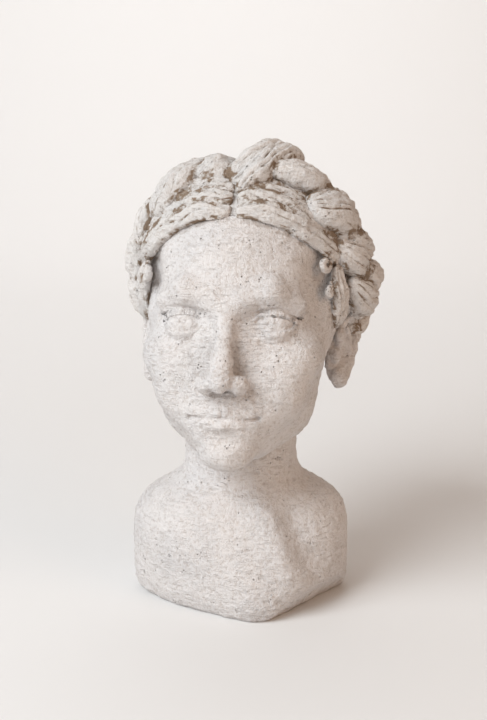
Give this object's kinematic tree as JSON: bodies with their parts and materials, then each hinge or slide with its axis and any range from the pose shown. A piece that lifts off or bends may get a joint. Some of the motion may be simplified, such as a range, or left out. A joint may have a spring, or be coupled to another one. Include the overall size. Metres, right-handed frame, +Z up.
{
  "type": "portrait bust",
  "caption": "Hand-built unglazed clay bust of a woman with parted hair and a braid wound round the crown, on a knife-cut hollow shoulder block that stands by itself.",
  "frame": {"origin": "middle of the bust's footprint box, on the face it stands on", "axes": "+Z up from the standing face to the crown, -Y the way the chest faces, +X the bust's own left"},
  "size_m": [0.1422, 0.1696, 0.2486],
  "materials": {
    "bare_clay": "unglazed and matte, off-white, with pinholes, grog and scratches",
    "combed_clay": "unglazed and matte, off-white, combed into strands with brown dirt in the grooves"
  },
  "bodies": {
    "root": {"braid_lobe_01": "combed_clay", "braid_lobe_02": "combed_clay", "braid_lobe_03": "combed_clay", "braid_lobe_04": "combed_clay", "braid_lobe_05": "combed_clay", "braid_lobe_06": "combed_clay", "braid_lobe_07": "combed_clay", "braid_lobe_08": "combed_clay", "braid_lobe_09": "combed_clay", "braid_lobe_10": "combed_clay", "braid_lobe_11": "combed_clay", "braid_lobe_12": "combed_clay", "braid_lobe_13": "combed_clay", "braid_lobe_14": "combed_clay", "braid_lobe_15": "combed_clay", "braid_lobe_16": "combed_clay", "braid_lobe_17": "combed_clay", "head": "bare_clay", "left_crown_strip_1": "combed_clay", "left_crown_strip_2": "combed_clay", "left_crown_strip_3": "combed_clay", "left_crown_strip_4": "combed_clay", "left_ear": "bare_clay", "left_eyeball": "bare_clay", "left_front_band_1": "combed_clay", "left_front_band_2": "combed_clay", "left_front_band_3": "combed_clay", "left_front_band_4": "combed_clay", "left_lower_eyelid": "bare_clay", "left_nape_strip_1": "combed_clay", "left_nape_strip_2": "combed_clay", "left_side_lock_back": "combed_clay", "left_side_lock_front": "combed_clay", "left_temple_curl_lower": "combed_clay", "left_temple_curl_upper": "combed_clay", "left_upper_eyelid": "bare_clay", "lower_lip": "bare_clay", "neck": "bare_clay", "nose": "bare_clay", "right_crown_strip_1": "combed_clay", "right_crown_strip_2": "combed_clay", "right_crown_strip_3": "combed_clay", "right_crown_strip_4": "combed_clay", "right_ear": "bare_clay", "right_eyeball": "bare_clay", "right_front_band_1": "combed_clay", "right_front_band_2": "combed_clay", "right_front_band_3": "combed_clay", "right_front_band_4": "combed_clay", "right_lower_eyelid": "bare_clay", "right_nape_strip_1": "combed_clay", "right_nape_strip_2": "combed_clay", "right_side_lock": "combed_clay", "right_temple_curl": "combed_clay", "right_upper_eyelid": "bare_clay", "shoulder_base": "bare_clay", "skull_cap": "combed_clay", "upper_lip": "bare_clay"}
  },
  "joints": []
}
